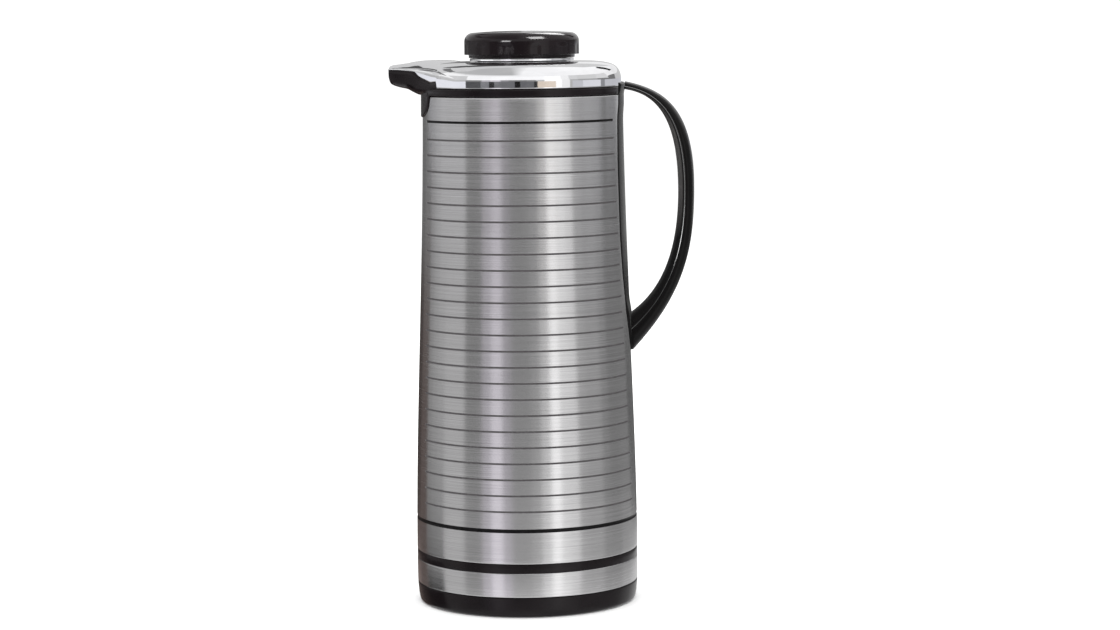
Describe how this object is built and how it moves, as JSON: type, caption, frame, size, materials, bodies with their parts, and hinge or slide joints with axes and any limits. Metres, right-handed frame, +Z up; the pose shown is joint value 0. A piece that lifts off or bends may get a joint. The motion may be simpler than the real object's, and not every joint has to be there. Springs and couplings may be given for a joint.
{
  "type": "thermal coffee airpot",
  "caption": "Tall insulated coffee jug: tapered steel shell over a glass refill, chrome shoulder with a pouring spout, looped side handle, black base and a screw stopper with a knob.",
  "frame": {"origin": "centre of the rubber pad's underside, where the jug stands on a flat surface", "axes": "+Z up along the jug's axis; the spout points to -X and the handle to +X; +Y completes a right-handed set"},
  "size_m": [0.1871, 0.1374, 0.3527],
  "materials": {
    "brushed_steel": "brushed round the jug, with fine dark lines",
    "chrome": "mirror-bright plating on plastic",
    "black_plastic": "glossy brown-black",
    "knob_plastic": "satin black",
    "handle_plastic": "satin black",
    "grey_plastic": "plain moulded",
    "silvered_glass": "silvered between its walls",
    "silicone": "soft, milky",
    "rubber": "matt black",
    "foam": "fine closed-cell foam",
    "zinc_steel": "dull zinc plating"
  },
  "bodies": {
    "jug": {"outer_shell": "brushed_steel", "trim_band": "black_plastic", "base_cap": "black_plastic", "base_ring": "grey_plastic", "base_screw_1": "zinc_steel", "base_screw_2": "zinc_steel", "base_screw_3": "zinc_steel", "base_pad": "rubber", "glass_liner": "silvered_glass", "liner_spacer_1": "foam", "liner_spacer_2": "foam", "liner_spacer_3": "foam", "liner_cushion": "rubber", "liner_support": "grey_plastic", "liner_collar": "foam", "neck_gasket": "silicone", "pour_neck": "black_plastic", "clamp_ring": "grey_plastic", "shoulder_collar": "black_plastic", "collar_screw_1": "zinc_steel", "collar_screw_2": "zinc_steel", "collar_screw_3": "zinc_steel", "chrome_cap": "chrome", "handle_frame": "handle_plastic", "handle_cover": "handle_plastic", "handle_plate_top": "zinc_steel", "handle_plate_bottom": "zinc_steel", "handle_screw_top": "zinc_steel", "handle_screw_bottom": "zinc_steel"},
    "seal": {"stopper_gasket": "silicone"},
    "stopper": {"stopper_plug": "knob_plastic", "stopper_core": "foam", "stopper_ring": "chrome", "stopper_knob": "knob_plastic"}
  },
  "joints": [
    {"name": "stopper_rise", "type": "slide", "parent": "jug", "child": "seal", "axis": [0, 0, 1], "range_m": [0, 0.03601]},
    {"name": "stopper_turn", "type": "hinge", "parent": "seal", "child": "stopper", "pos_m": [0, 0, 0.32], "axis": [0, 0, 1], "range_deg": [0, 1080]}
  ],
  "couplings": [
    {"joint": "stopper_rise", "follows": "stopper_turn", "m_per_rad": 0.0019099}
  ]
}
